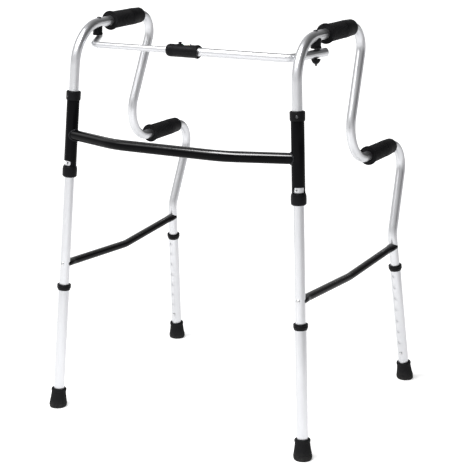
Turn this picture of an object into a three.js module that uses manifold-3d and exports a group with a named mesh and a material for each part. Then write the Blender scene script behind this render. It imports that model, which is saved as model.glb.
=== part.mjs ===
// A folding walking frame with two pairs of hand grips, in millimetres, +Z up.
// The origin is on the floor, midway between the two sides and midway from front to back.
// The cross bar is at the front (-Y). Side is -1 for the frame's -X side and +1 for its +X side.
import * as THREE from 'three';
import { mergeVertices } from 'three/addons/utils/BufferGeometryUtils.js';
import Module from 'manifold-3d';

const wasm = await Module();
wasm.setup();

// ---------------------------------------------------------------- driving dimensions

const GAP = 0.3;                    // clearance between pieces that touch

// Each side frame lies in one leaning plane. Rearward distances start at the front foot.
const HALF_WIDTH = 281.9;           // middle of the frame to a front leg's axis, at the floor
const TOE_OUT = 0.0174;             // outward growth for each mm rearward
const LEAN_IN = 0.058;              // inward lean for each mm upward
const FRONT_FOOT_Y = -245;

const FRONT_LEG_SLOPE = 0.0511;     // rearward lean of the front leg for each mm upward
const RAIL_FRONT_HEIGHT = 783;      // the top rail carries the upper grips and rises rearward
const RAIL_REAR_HEIGHT = 786;
const RAIL_REAR = 338;              // where the top rail's line meets the descending run
const LOWER_RAIL_FRONT = 225.5;     // the lower rail carries the lower grips
const LOWER_RAIL_FRONT_HEIGHT = 522;
const LOWER_RAIL_REAR = 527;
const LOWER_RAIL_REAR_HEIGHT = 525;
const KNEE_REARWARD = 450;          // slight bend of the rear leg
const KNEE_HEIGHT = 337;
const REAR_FOOT = 500.6;
const SIDE_BEND_RADII = [80, 40, 64, 48, 48];

const SIDE_TUBE_RADIUS = 9.7;
const SIDE_TUBE_WALL = 1.2;
const INNER_TUBE_END = 44;          // height of the side tube's open lower ends

const EXTENSION_RADIUS = 10.9;
const EXTENSION_WALL = 0.9;
const EXTENSION_BOTTOM = 9;
const COLLAR_TOP = { front: 264, rear: 270 };
const COLLAR_HEIGHT = 12;
const COLLAR_LIP = 3;               // thickness of the collar over the extension's end
const HOLE_PITCH = 26;
const HOLE_COUNT = 8;
const FIRST_HOLE = 65;
const HOLE_RADIUS = 3.4;
const BUTTON_RADIUS = 3;
const BUTTON_TIP = 13.2;            // distance of the button's crown from the leg's axis
const FOOT_HEIGHT = 40;

const SLEEVE_BOTTOM = 490;
const SLEEVE_TOP = 657;
const SLEEVE_RADIUS = 12.6;
const SLEEVE_WALL = 2.3;
const CAP_SCREW_TURN = 22;          // degrees
const SLOT_BOTTOM = 510.5;
const SLOT_TOP = 520.5;
const SLOT_START = -106;            // degrees round the sleeve, -90 facing the front
const SLOT_SWEEP = 122;
const STOP_PIN_RADIUS = 2.4;

const CROSS_BAR_RADIUS = 10.6;
const CROSS_BAR_WALL = 1.5;
const CROSS_BAR_HEIGHT = 571;
const CROSS_BAR_BOW = 18;           // how far its middle stands in front of the front feet
const CROSS_BAR_BEND_X = 118;
const CROSS_BAR_BEND_RADIUS = 150;

const SIDE_BAR_RADIUS = 7.9;
const SIDE_BAR_WALL = 1.2;
const SIDE_BAR_HEIGHT = { front: 306.5, rear: 308.5 };
const SIDE_BAR_MIDDLE = 240;        // rearward place of its shallow bend
const SIDE_BAR_MIDDLE_HEIGHT = 295;
const SIDE_BAR_MIDDLE_INWARD = 5;   // how far the bend stands inside the side frame's plane
const SIDE_BAR_BEND_RADIUS = 120;

const GRIP_RADIUS = 17.6;
const GRIP_REAR_RADIUS = 16.2;
const GRIP_FLANGE_RADIUS = 18;
const GRIP_LENGTH = 115;
const UPPER_GRIP_FRONT = 159.5;
const LOWER_GRIP_FRONT = 336;

const BRACE_HEIGHT = 747.5;
const PIVOT_HEIGHT = 751.5;         // the brace's ends rise a little towards their pivots
const BRACE_LINE = 61.5;              // rearward place of the brace's straight run
const BRACE_CORNER_X = 215;
const PIVOT_REARWARD = 116.8;
const PIVOT_X = 240.5;
const BRACE_STUB = 25;              // length of a brace end past its pivot
const BRACE_TUBE_RADIUS = 8.05;
const BRACE_TUBE_WALL = 1.05;
const BRACE_ROD_RADIUS = 6.1;
const BRACE_ROD_WALL = 1;
const BRACE_BEND_RADIUS = 21;
const BRACE_PLAY = 1.8;             // air between a brace end and the saddle above it
const TUBE_INNER_END = -8;          // places along X, at rest
const ROD_INNER_END = 50;
const LINER_LEFT = 0;
const LINER_RIGHT = 30;
const LOCK_LEFT = -44;
const LOCK_RIGHT = 26;
const LOCK_RADIUS = 12.2;
const LOCK_BUTTON_X = -17;
const LOCK_BUTTON_RADIUS = 3.5;
const LOCK_BUTTON_STROKE = 2.5;
const BOLT_RADIUS = 3;
const RAIL_HOLE_PLAY = 0.9;         // air round a pivot bolt in its rail and saddle
const SADDLE_RADIUS = 10;

// ---------------------------------------------------------------- finishes

const finish = (color, roughness, metalness) =>
  new THREE.MeshStandardMaterial({ color, roughness, metalness });

const ALUMINIUM = finish(0xd3d6da, 0.35, 0.9);
const BLACK_PAINT = finish(0x0b0b0d, 0.18, 0.1);
const BLACK_PLASTIC = finish(0x141416, 0.45, 0);
const GRIP_RUBBER = finish(0x18181a, 0.75, 0);
const FOOT_RUBBER = finish(0x2a2a2d, 0.8, 0);
const STEEL = finish(0xb4b7bb, 0.3, 1);

// ---------------------------------------------------------------- shape helpers

const radians = THREE.MathUtils.degToRad;

// A route through stations; straight runs need only their two ends.
class Route extends THREE.Curve {
  constructor(stations) {
    super();
    this.stations = stations;
  }

  getPoint(t, target = new THREE.Vector3()) {
    const place = t * (this.stations.length - 1);
    const index = Math.min(Math.floor(place), this.stations.length - 2);
    return target.lerpVectors(this.stations[index], this.stations[index + 1], place - index);
  }

  getPointAt(u, target) {
    return this.getPoint(u, target);
  }

  getTangentAt(u, target = new THREE.Vector3()) {
    const last = this.stations.length - 1;
    const index = Math.round(u * last);
    const before = this.stations[Math.max(index - 1, 0)];
    const here = this.stations[index];
    const after = this.stations[Math.min(index + 1, last)];
    const arriving = new THREE.Vector3().subVectors(here, before).normalize();
    const leaving = new THREE.Vector3().subVectors(after, here).normalize();
    return target.addVectors(arriving, leaving).normalize();
  }
}

// Corner points joined by straight runs, with a round bend at each inner corner.
function bentRoute(corners, radii, bendStep = 23) {
  const stations = [corners[0]];
  for (let i = 1; i < corners.length - 1; i += 1) {
    const back = new THREE.Vector3().subVectors(corners[i - 1], corners[i]).normalize();
    const ahead = new THREE.Vector3().subVectors(corners[i + 1], corners[i]).normalize();
    const inside = back.angleTo(ahead);
    const radius = radii[i - 1];
    const start = corners[i].clone().addScaledVector(back, radius / Math.tan(inside / 2));
    const middle = new THREE.Vector3().addVectors(back, ahead).normalize();
    const centre = corners[i].clone().addScaledVector(middle, radius / Math.sin(inside / 2));
    const axis = new THREE.Vector3().crossVectors(ahead, back).normalize();
    const turn = Math.PI - inside;
    const steps = Math.max(2, Math.ceil(THREE.MathUtils.radToDeg(turn) / bendStep));
    for (let k = 0; k <= steps; k += 1) {
      const arm = new THREE.Vector3().subVectors(start, centre);
      stations.push(arm.applyAxisAngle(axis, (turn * k) / steps).add(centre));
    }
  }
  stations.push(corners[corners.length - 1]);
  return new Route(stations);
}

// A round section swept along a route; with a wall it is an open-ended tube.
function sweep(route, radius, wall, sides = 12) {
  const section = new THREE.Shape();
  section.absarc(0, 0, radius, 0, Math.PI * 2, false);
  if (wall > 0) {
    const bore = new THREE.Path();
    bore.absarc(0, 0, radius - wall, 0, Math.PI * 2, true);
    section.holes.push(bore);
  }
  return new THREE.ExtrudeGeometry(section, {
    curveSegments: sides / 2,
    steps: route.stations.length - 1,
    extrudePath: route,
    bevelEnabled: false,
  });
}

// A turned piece about +Z from [radius, height] points; its outline closes on itself.
function turned(outline, sides = 16) {
  const points = outline.map(([radius, height]) => new THREE.Vector2(radius, height));
  points.push(points[0].clone());
  return new THREE.LatheGeometry(points, sides).rotateX(Math.PI / 2);
}

// A turned piece with no bore, from [radius, height] points that start and end on the axis.
function turnedSolid(outline, sides = 12) {
  const points = outline.map(([radius, height]) => new THREE.Vector2(radius, height));
  return new THREE.LatheGeometry(points, sides).rotateX(Math.PI / 2);
}

const ring = (outer, inner, bottom, top, sides) =>
  turned([[inner, bottom], [outer, bottom], [outer, top], [inner, top]], sides);

const rod = (radius, bottom, top, sides) =>
  turnedSolid([[0, bottom], [radius, bottom], [radius, top], [0, top]], sides);

function toManifold(geometry) {
  const bare = geometry.clone();
  bare.deleteAttribute('normal');
  bare.deleteAttribute('uv');
  const merged = mergeVertices(bare, 1e-4);
  const triVerts = [];
  const index = merged.index.array;
  for (let i = 0; i < index.length; i += 3) {
    const corner = [index[i], index[i + 1], index[i + 2]];
    if (new Set(corner).size === 3) {
      triVerts.push(...corner);
    }
  }
  return new wasm.Manifold(new wasm.Mesh({
    numProp: 3,
    vertProperties: Float32Array.from(merged.attributes.position.array),
    triVerts: Uint32Array.from(triVerts),
  }));
}

function toGeometry(solid) {
  const mesh = solid.getMesh();
  const geometry = new THREE.BufferGeometry();
  geometry.setAttribute('position', new THREE.BufferAttribute(mesh.vertProperties, 3));
  geometry.setIndex(new THREE.BufferAttribute(mesh.triVerts, 1));
  return geometry;
}

function cut(geometry, ...tools) {
  let solid = toManifold(geometry);
  for (const tool of tools) {
    solid = solid.subtract(toManifold(tool));
  }
  return toGeometry(solid);
}

function join(geometry, ...others) {
  let solid = toManifold(geometry);
  for (const other of others) {
    solid = solid.add(toManifold(other));
  }
  return toGeometry(solid);
}

// A copy of a geometry made about +Z, moved to a place and turned to point along a direction.
function aim(geometry, place, direction) {
  const turn = new THREE.Quaternion().setFromUnitVectors(
    new THREE.Vector3(0, 0, 1), direction.clone().normalize());
  const matrix = new THREE.Matrix4().compose(place, turn, new THREE.Vector3(1, 1, 1));
  return geometry.clone().applyMatrix4(matrix);
}

// ---------------------------------------------------------------- places

const frame = new THREE.Group();

function addPiece(parent, name, geometry, material) {
  const mesh = new THREE.Mesh(geometry, material);
  mesh.name = name;
  parent.add(mesh);
}

const sideName = (side) => (side < 0 ? 'left' : 'right');

// A point of a side frame's plane, from its rearward distance and its height.
const sidePoint = (side, rearward, height) => new THREE.Vector3(
  side * (HALF_WIDTH + TOE_OUT * rearward - LEAN_IN * height),
  FRONT_FOOT_Y + rearward,
  height,
);

const legFoot = (side, end) => sidePoint(side, end === 'front' ? 0 : REAR_FOOT, 0);

function legDirection(side, end) {
  const upper = end === 'front'
    ? sidePoint(side, FRONT_LEG_SLOPE * RAIL_FRONT_HEIGHT, RAIL_FRONT_HEIGHT)
    : sidePoint(side, KNEE_REARWARD, KNEE_HEIGHT);
  return upper.sub(legFoot(side, end)).normalize();
}

// A group whose +Z runs up a leg from the middle of its foot on the floor.
function legGroup(side, end) {
  const group = new THREE.Group();
  group.position.copy(legFoot(side, end));
  group.quaternion.setFromUnitVectors(new THREE.Vector3(0, 0, 1), legDirection(side, end));
  frame.add(group);
  return group;
}

// Where a leg's axis passes a given height.
function legPoint(side, end, height) {
  const direction = legDirection(side, end);
  return legFoot(side, end).addScaledVector(direction, height / direction.z);
}

const pivotPoint = (side) =>
  new THREE.Vector3(side * PIVOT_X, FRONT_FOOT_Y + PIVOT_REARWARD, PIVOT_HEIGHT);

// ---------------------------------------------------------------- side frames

function sideRoute(side) {
  const front = legDirection(side, 'front');
  const rear = legDirection(side, 'rear');
  return bentRoute([
    legFoot(side, 'front').addScaledVector(front, INNER_TUBE_END),
    sidePoint(side, FRONT_LEG_SLOPE * RAIL_FRONT_HEIGHT, RAIL_FRONT_HEIGHT),
    sidePoint(side, RAIL_REAR, RAIL_REAR_HEIGHT),
    sidePoint(side, LOWER_RAIL_FRONT, LOWER_RAIL_FRONT_HEIGHT),
    sidePoint(side, LOWER_RAIL_REAR, LOWER_RAIL_REAR_HEIGHT),
    sidePoint(side, KNEE_REARWARD, KNEE_HEIGHT),
    legFoot(side, 'rear').addScaledVector(rear, INNER_TUBE_END),
  ], SIDE_BEND_RADII);
}

// Each leg's snap button faces the space between the two legs of its side frame.
const buttonFacing = (end) => new THREE.Vector3(0, end === 'front' ? 1 : -1, 0);

function buttonHole(side, end) {
  const hole = aim(rod(HOLE_RADIUS, 0, 16, 12), new THREE.Vector3(0, 0, FIRST_HOLE), buttonFacing(end));
  const turn = new THREE.Quaternion().setFromUnitVectors(
    new THREE.Vector3(0, 0, 1), legDirection(side, end));
  const matrix = new THREE.Matrix4().compose(legFoot(side, end), turn, new THREE.Vector3(1, 1, 1));
  return hole.applyMatrix4(matrix);
}

function pivotHole(side, radius) {
  return aim(rod(radius, -40, 60, 12), pivotPoint(side), legDirection(side, 'front'));
}

function addSideTube(side) {
  const tube = cut(
    sweep(sideRoute(side), SIDE_TUBE_RADIUS, SIDE_TUBE_WALL),
    buttonHole(side, 'front'),
    buttonHole(side, 'rear'),
    pivotHole(side, BOLT_RADIUS + RAIL_HOLE_PLAY),
  );
  addPiece(frame, `side_tube_${sideName(side)}`, tube, ALUMINIUM);
}

// Moulded hand grip: a guard at the front, a long palm and a rounded rear end.
function addGrip(side, name, railFront, railRear, rearward) {
  const bore = SIDE_TUBE_RADIUS + GAP;
  const grip = turned([
    [bore, 0],
    [GRIP_FLANGE_RADIUS - 1, 0],
    [GRIP_FLANGE_RADIUS, 1.5],
    [GRIP_FLANGE_RADIUS, 5],
    [GRIP_RADIUS - 0.6, 8],
    [GRIP_RADIUS, 50],
    [GRIP_REAR_RADIUS, GRIP_LENGTH - 4],
    [GRIP_REAR_RADIUS - 2.5, GRIP_LENGTH],
    [bore, GRIP_LENGTH],
  ], 20);
  const along = new THREE.Vector3().subVectors(railRear, railFront);
  const start = railFront.clone().addScaledVector(along, (rearward + FRONT_FOOT_Y - railFront.y) / along.y);
  const group = new THREE.Group();
  group.position.copy(start);
  group.quaternion.setFromUnitVectors(new THREE.Vector3(0, 0, 1), along.normalize());
  frame.add(group);
  addPiece(group, `${name}_${sideName(side)}`, grip, GRIP_RUBBER);
}

function addGrips(side) {
  addGrip(
    side,
    'upper_grip',
    sidePoint(side, FRONT_LEG_SLOPE * RAIL_FRONT_HEIGHT, RAIL_FRONT_HEIGHT),
    sidePoint(side, RAIL_REAR, RAIL_REAR_HEIGHT),
    UPPER_GRIP_FRONT,
  );
  addGrip(
    side,
    'lower_grip',
    sidePoint(side, LOWER_RAIL_FRONT, LOWER_RAIL_FRONT_HEIGHT),
    sidePoint(side, LOWER_RAIL_REAR, LOWER_RAIL_REAR_HEIGHT),
    LOWER_GRIP_FRONT,
  );
}

// The lower side bar is a thin bent tube whose flared ends saddle the two legs.
function sideBarEnd(place, direction) {
  const flare = turnedSolid([
    [0, -12],
    [SIDE_BAR_RADIUS + 0.9, -12],
    [SIDE_BAR_RADIUS + 0.9, 12],
    [SIDE_BAR_RADIUS, 26],
    [0, 26],
  ], 16);
  return aim(flare.scale(1.25, 1, 1), place, direction);
}

function addSideBar(side) {
  const front = legPoint(side, 'front', SIDE_BAR_HEIGHT.front);
  const rear = legPoint(side, 'rear', SIDE_BAR_HEIGHT.rear);
  const middle = sidePoint(side, SIDE_BAR_MIDDLE, SIDE_BAR_MIDDLE_HEIGHT);
  middle.x -= side * SIDE_BAR_MIDDLE_INWARD;
  const route = bentRoute([front, middle, rear], [SIDE_BAR_BEND_RADIUS], 10);
  const legCutter = (end, place) => aim(
    rod(SIDE_TUBE_RADIUS + GAP, -40, 40, 16), place, legDirection(side, end));
  const beyond = (end, place, outward) => {
    const block = new THREE.BoxGeometry(60, 40, 90).translate(0, outward * 23, 0);
    return aim(block, place, legDirection(side, end));
  };
  const bar = cut(
    join(
      sweep(route, SIDE_BAR_RADIUS, 0),
      sideBarEnd(front, middle.clone().sub(front)),
      sideBarEnd(rear, middle.clone().sub(rear)),
    ),
    sweep(route, SIDE_BAR_RADIUS - SIDE_BAR_WALL, 0, 12),
    legCutter('front', front),
    legCutter('rear', rear),
    beyond('front', front, -1),
    beyond('rear', rear, 1),
  );
  addPiece(frame, `side_bar_${sideName(side)}`, bar, BLACK_PAINT);
}

// Screws hold each side bar through its legs; their heads stand on the legs' outer faces.
function addSideBarScrew(side, end) {
  const leg = legDirection(side, end);
  const outward = new THREE.Vector3(0, end === 'front' ? -1 : 1, 0).projectOnPlane(leg);
  const base = SIDE_TUBE_RADIUS + GAP;
  const screw = turnedSolid([
    [0, base],
    [4, base],
    [3.4, base + 1.3],
    [1.8, base + 2.1],
    [0, base + 2.2],
  ], 10);
  const name = `side_bar_screw_${end}_${sideName(side)}`;
  addPiece(frame, name, aim(screw, legPoint(side, end, SIDE_BAR_HEIGHT[end]), outward), STEEL);
}

// ---------------------------------------------------------------- adjustable legs

function legExtension(end) {
  const top = COLLAR_TOP[end] - COLLAR_LIP - GAP;
  const tube = ring(
    EXTENSION_RADIUS, EXTENSION_RADIUS - EXTENSION_WALL, EXTENSION_BOTTOM, top, 14);
  const holes = [];
  for (let k = 0; k < HOLE_COUNT; k += 1) {
    const place = new THREE.Vector3(0, 0, FIRST_HOLE + k * HOLE_PITCH);
    holes.push(aim(rod(HOLE_RADIUS + 0.2, 5, 16, 8), place, buttonFacing(end)));
  }
  return cut(tube, ...holes);
}

// A bush at the extension's top: wide above, tapering down, with a lip over the tube's end.
function legCollar(end) {
  const bore = EXTENSION_RADIUS + GAP;
  const neck = SIDE_TUBE_RADIUS + GAP;
  const top = COLLAR_TOP[end];
  const bottom = top - COLLAR_HEIGHT;
  return turned([
    [bore, bottom],
    [bore + 1.2, bottom],
    [bore + 2.8, bottom + 5],
    [bore + 3, top - 1.5],
    [bore + 1.8, top],
    [neck, top],
    [neck, top - COLLAR_LIP],
    [bore, top - COLLAR_LIP],
  ]);
}

// Rubber foot: a bell with a closed sole, cut level with the floor.
function rubberFoot(side, end) {
  const bore = EXTENSION_RADIUS + GAP;
  const seat = EXTENSION_BOTTOM - GAP;
  const bell = turnedSolid([
    [0, -6],
    [16.4, -6],
    [17.2, 0],
    [18.2, 5],
    [17.8, 12],
    [15.8, 24],
    [15, FOOT_HEIGHT - 2],
    [14, FOOT_HEIGHT],
    [bore, FOOT_HEIGHT],
    [bore, seat],
    [0, seat],
  ], 16);
  const below = new THREE.BoxGeometry(100, 100, 50).translate(0, 0, -25);
  const level = new THREE.Quaternion().setFromUnitVectors(
    new THREE.Vector3(0, 0, 1), legDirection(side, end)).invert();
  return cut(bell, below.applyQuaternion(level));
}

// Snap button: a domed pin with a flange inside the side tube.
function snapButton(end) {
  const pin = turnedSolid([
    [0, 5.5],
    [4, 5.5],
    [4, 6.8],
    [BUTTON_RADIUS, 6.8],
    [BUTTON_RADIUS, BUTTON_TIP - 1.4],
    [BUTTON_RADIUS - 1.2, BUTTON_TIP - 0.3],
    [0, BUTTON_TIP],
  ], 10);
  return aim(pin, new THREE.Vector3(0, 0, FIRST_HOLE), buttonFacing(end));
}

// Folded leaf spring behind the button: two arms joined at the top, drawn as [outward, up].
function snapSpring(end) {
  const strip = new THREE.Shape([
    [5.2, -5], [5.2, 5], [2.4, 30], [0.6, 33], [-1.2, 30], [-3.9, -5],
    [-3.1, -5], [-0.4, 29.7], [0.6, 31.6], [1.6, 29.7], [4.4, 5], [4.4, -5],
  ].map(([outward, up]) => new THREE.Vector2(outward, up)));
  const spring = new THREE.ExtrudeGeometry(strip, { depth: 6, bevelEnabled: false });
  spring.translate(0, 0, -3).rotateX(Math.PI / 2);
  spring.rotateZ((end === 'front' ? 1 : -1) * Math.PI / 2);
  return spring.translate(0, 0, FIRST_HOLE);
}

function addLegEnd(group, side, end) {
  const leg = `${end}_${sideName(side)}`;
  addPiece(group, `leg_extension_${leg}`, legExtension(end), ALUMINIUM);
  addPiece(group, `leg_collar_${leg}`, legCollar(end), BLACK_PLASTIC);
  addPiece(group, `rubber_foot_${leg}`, rubberFoot(side, end), FOOT_RUBBER);
  addPiece(group, `snap_button_${leg}`, snapButton(end), STEEL);
  addPiece(group, `snap_spring_${leg}`, snapSpring(end), STEEL);
}

// ---------------------------------------------------------------- front frame

// The slot in each hinge sleeve runs from the front round the outer side.
function sleeveSlot(side) {
  const sector = new THREE.Shape();
  const start = radians(SLOT_START);
  const end = radians(SLOT_START + SLOT_SWEEP);
  sector.moveTo(5 * Math.cos(start), 5 * Math.sin(start));
  sector.absarc(0, 0, 30, start, end, false);
  sector.absarc(0, 0, 5, end, start, true);
  const slot = new THREE.ExtrudeGeometry(sector, {
    depth: SLOT_TOP - SLOT_BOTTOM, bevelEnabled: false, curveSegments: 8,
  });
  slot.translate(0, 0, SLOT_BOTTOM);
  return side > 0 ? slot : slot.rotateY(Math.PI).translate(0, 0, SLOT_BOTTOM + SLOT_TOP);
}

function hingeSleeve(side) {
  const tube = ring(SLEEVE_RADIUS, SLEEVE_RADIUS - SLEEVE_WALL, SLEEVE_BOTTOM, SLEEVE_TOP, 20);
  return cut(tube, sleeveSlot(side));
}

function sleeveCap() {
  const neck = SIDE_TUBE_RADIUS + GAP;
  const over = SLEEVE_RADIUS + GAP;
  return turned([
    [over, SLEEVE_TOP - 15],
    [over + 1.5, SLEEVE_TOP - 15],
    [over + 1.7, SLEEVE_TOP + 1],
    [over + 0.6, SLEEVE_TOP + 3],
    [neck, SLEEVE_TOP + 3],
    [neck, SLEEVE_TOP + GAP],
    [over, SLEEVE_TOP + GAP],
  ], 20);
}

function sleeveBush() {
  const neck = SIDE_TUBE_RADIUS + GAP;
  const over = SLEEVE_RADIUS + GAP;
  return turned([
    [neck, SLEEVE_BOTTOM - 3],
    [over - 0.4, SLEEVE_BOTTOM - 3],
    [over + 1.6, SLEEVE_BOTTOM],
    [over + 1.9, SLEEVE_BOTTOM + 6],
    [over + 1.9, SLOT_BOTTOM - 7],
    [over + 0.9, SLOT_BOTTOM - 2.5],
    [over, SLOT_BOTTOM - 2],
    [over, SLEEVE_BOTTOM - GAP],
    [neck, SLEEVE_BOTTOM - GAP],
  ], 20);
}

// A small screw in each sleeve cap, turned outward from the front.
function capScrew(side) {
  const screw = turnedSolid([[0, 0], [2.8, 0], [2.2, 1], [0, 1.2]], 10);
  const turn = side * radians(CAP_SCREW_TURN);
  const facing = new THREE.Vector3(Math.sin(turn), -Math.cos(turn), 0);
  const place = facing.clone().multiplyScalar(SLEEVE_RADIUS + 2 * GAP + 1.7).setZ(SLEEVE_TOP - 7);
  return aim(screw, place, facing);
}

// A pin in the side tube runs in the sleeve's slot and carries and stops the side frame.
function stopPin() {
  const pin = turnedSolid([
    [0, SIDE_TUBE_RADIUS + GAP],
    [STOP_PIN_RADIUS, SIDE_TUBE_RADIUS + GAP],
    [STOP_PIN_RADIUS, SLEEVE_RADIUS + 0.6],
    [STOP_PIN_RADIUS - 0.7, SLEEVE_RADIUS + 1.3],
    [0, SLEEVE_RADIUS + 1.4],
  ], 10);
  const place = new THREE.Vector3(0, 0, (SLOT_BOTTOM + SLOT_TOP) / 2);
  return aim(pin, place, new THREE.Vector3(0, -1, 0));
}

function addHinge(group, side) {
  const name = sideName(side);
  addPiece(group, `hinge_sleeve_${name}`, hingeSleeve(side), BLACK_PAINT);
  addPiece(group, `sleeve_cap_${name}`, sleeveCap(), BLACK_PLASTIC);
  addPiece(group, `sleeve_bush_${name}`, sleeveBush(), BLACK_PLASTIC);
  addPiece(group, `sleeve_cap_screw_${name}`, capScrew(side), STEEL);
  addPiece(group, `fold_stop_pin_${name}`, stopPin(), STEEL);
}

// The cross bar is bowed forward and its ends are shaped to the two hinge sleeves.
function addCrossBar() {
  const left = legPoint(-1, 'front', CROSS_BAR_HEIGHT);
  const right = legPoint(1, 'front', CROSS_BAR_HEIGHT);
  const bow = FRONT_FOOT_Y - CROSS_BAR_BOW;
  const corners = [
    left,
    new THREE.Vector3(-CROSS_BAR_BEND_X, bow, CROSS_BAR_HEIGHT),
    new THREE.Vector3(CROSS_BAR_BEND_X, bow, CROSS_BAR_HEIGHT),
    right,
  ];
  const radii = [CROSS_BAR_BEND_RADIUS, CROSS_BAR_BEND_RADIUS];
  const sleeve = (side, place) => aim(
    rod(SLEEVE_RADIUS + GAP, -40, 40, 20), place, legDirection(side, 'front'));
  const outside = (side, place) =>
    new THREE.BoxGeometry(40, 60, 60).translate(place.x + side * 20, place.y, place.z);
  const bar = cut(
    sweep(bentRoute(corners, radii, 7), CROSS_BAR_RADIUS, CROSS_BAR_WALL, 14),
    sleeve(-1, left),
    sleeve(1, right),
    outside(-1, left),
    outside(1, right),
  );
  addPiece(frame, 'cross_bar', bar, BLACK_PAINT);
}

// ---------------------------------------------------------------- telescopic top brace

// The run from the middle of the brace to the end that turns rearward under a rail.
function braceRoute(side, innerEnd) {
  const pivot = pivotPoint(side);
  const corner = new THREE.Vector3(side * BRACE_CORNER_X, FRONT_FOOT_Y + BRACE_LINE, BRACE_HEIGHT);
  const start = new THREE.Vector3(innerEnd, corner.y, BRACE_HEIGHT);
  const stub = new THREE.Vector3().subVectors(pivot, corner).normalize();
  const end = pivot.clone().addScaledVector(stub, BRACE_STUB);
  return bentRoute([start, corner, end], [BRACE_BEND_RADIUS]);
}

// A brace half is an open tube drilled for its pivot bolt.
function braceHalf(side, innerEnd, radius, wall) {
  return cut(sweep(braceRoute(side, innerEnd), radius, wall), pivotHole(side, BOLT_RADIUS + 0.8));
}

const onBrace = (geometry, x, direction) => aim(
  geometry, new THREE.Vector3(x, FRONT_FOOT_Y + BRACE_LINE, BRACE_HEIGHT), direction);

// The lock sleeve is fixed on the tube's end; its right end flares round the tube.
function lockSleeve() {
  const rodBore = BRACE_ROD_RADIUS + 0.4;
  const tubeBore = BRACE_TUBE_RADIUS + GAP;
  const step = TUBE_INNER_END - GAP;
  const body = turned([
    [rodBore, LOCK_LEFT],
    [LOCK_RADIUS - 2.5, LOCK_LEFT],
    [LOCK_RADIUS, LOCK_LEFT + 5],
    [LOCK_RADIUS, LOCK_RIGHT - 12],
    [LOCK_RADIUS + 1, LOCK_RIGHT - 2],
    [LOCK_RADIUS, LOCK_RIGHT],
    [tubeBore, LOCK_RIGHT - 3],
    [tubeBore, step],
    [rodBore, step],
  ], 20);
  const well = rod(LOCK_BUTTON_RADIUS + 0.4, BRACE_ROD_RADIUS, LOCK_RADIUS + 8, 12);
  return cut(
    onBrace(body, 0, new THREE.Vector3(1, 0, 0)),
    onBrace(well, LOCK_BUTTON_X, new THREE.Vector3(0, 0, 1)),
  );
}

function lockButton() {
  const button = turnedSolid([
    [0, BRACE_ROD_RADIUS + LOCK_BUTTON_STROKE + 0.6],
    [LOCK_BUTTON_RADIUS, BRACE_ROD_RADIUS + LOCK_BUTTON_STROKE + 0.6],
    [LOCK_BUTTON_RADIUS, LOCK_RADIUS + 3.6],
    [LOCK_BUTTON_RADIUS - 0.7, LOCK_RADIUS + 4.4],
    [0, LOCK_RADIUS + 4.6],
  ], 12);
  return onBrace(button, LOCK_BUTTON_X, new THREE.Vector3(0, 0, 1));
}

// A thin nylon liner floats between the rod and the tube.
function slideLiner() {
  const outer = BRACE_TUBE_RADIUS - BRACE_TUBE_WALL - 0.25;
  const liner = ring(outer, BRACE_ROD_RADIUS + 0.25, LINER_LEFT, LINER_RIGHT, 16);
  return onBrace(liner, 0, new THREE.Vector3(1, 0, 0));
}

function addBrace() {
  const tube = braceHalf(1, TUBE_INNER_END, BRACE_TUBE_RADIUS, BRACE_TUBE_WALL);
  const thinRod = braceHalf(-1, ROD_INNER_END, BRACE_ROD_RADIUS, BRACE_ROD_WALL);
  addPiece(frame, 'brace_tube', tube, ALUMINIUM);
  addPiece(frame, 'brace_rod', thinRod, ALUMINIUM);
  addPiece(frame, 'lock_sleeve', lockSleeve(), BLACK_PLASTIC);
  addPiece(frame, 'lock_button', lockButton(), BLACK_PLASTIC);
  addPiece(frame, 'slide_liner', slideLiner(), BLACK_PLASTIC);
}

// A moulded saddle fills the space between the rail and the brace end at each pivot.
function addSaddle(side) {
  const radius = side < 0 ? BRACE_ROD_RADIUS : BRACE_TUBE_RADIUS;
  const body = turnedSolid([
    [0, radius + BRACE_PLAY],
    [SADDLE_RADIUS - 1, radius + BRACE_PLAY],
    [SADDLE_RADIUS, radius + BRACE_PLAY + 1],
    [SADDLE_RADIUS, PIVOT_TO_RAIL - 4],
    [0, PIVOT_TO_RAIL - 4],
  ], 16);
  const saddle = cut(
    body.translate(pivotPoint(side).x, pivotPoint(side).y, PIVOT_HEIGHT),
    sweep(sideRoute(side), SIDE_TUBE_RADIUS + GAP, 0),
    pivotHole(side, BOLT_RADIUS + RAIL_HOLE_PLAY),
  );
  addPiece(frame, `brace_saddle_${sideName(side)}`, saddle, BLACK_PLASTIC);
}

// Heights on a pivot bolt are measured along it from the brace's centre line.
const PIVOT_TO_RAIL = RAIL_FRONT_HEIGHT + 0.8 - PIVOT_HEIGHT;
const BOLT_HEAD = PIVOT_TO_RAIL + SIDE_TUBE_RADIUS + 0.6;

const onPivot = (geometry, side) => aim(geometry, pivotPoint(side), legDirection(side, 'front'));

// The right bolt passes through the rail, the saddle and the brace tube to a cap nut.
function addRightPivot() {
  const nutTop = -BRACE_TUBE_RADIUS - 1;
  const bolt = turnedSolid([
    [0, nutTop - 14],
    [1.4, nutTop - 13.5],
    [BOLT_RADIUS, nutTop - 9],
    [BOLT_RADIUS, BOLT_HEAD],
    [4.4, BOLT_HEAD],
    [3.8, BOLT_HEAD + 1.3],
    [0, BOLT_HEAD + 1.8],
  ], 12);
  const nut = turned([
    [BOLT_RADIUS + GAP, nutTop - 9],
    [4.6, nutTop - 9],
    [8.2, nutTop - 5.5],
    [8.8, nutTop - 1.2],
    [8, nutTop],
    [BOLT_RADIUS + GAP, nutTop],
  ], 14);
  addPiece(frame, 'pivot_bolt_right', onPivot(bolt, 1), STEEL);
  addPiece(frame, 'pivot_nut_right', onPivot(nut, 1), BLACK_PLASTIC);
}

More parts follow.
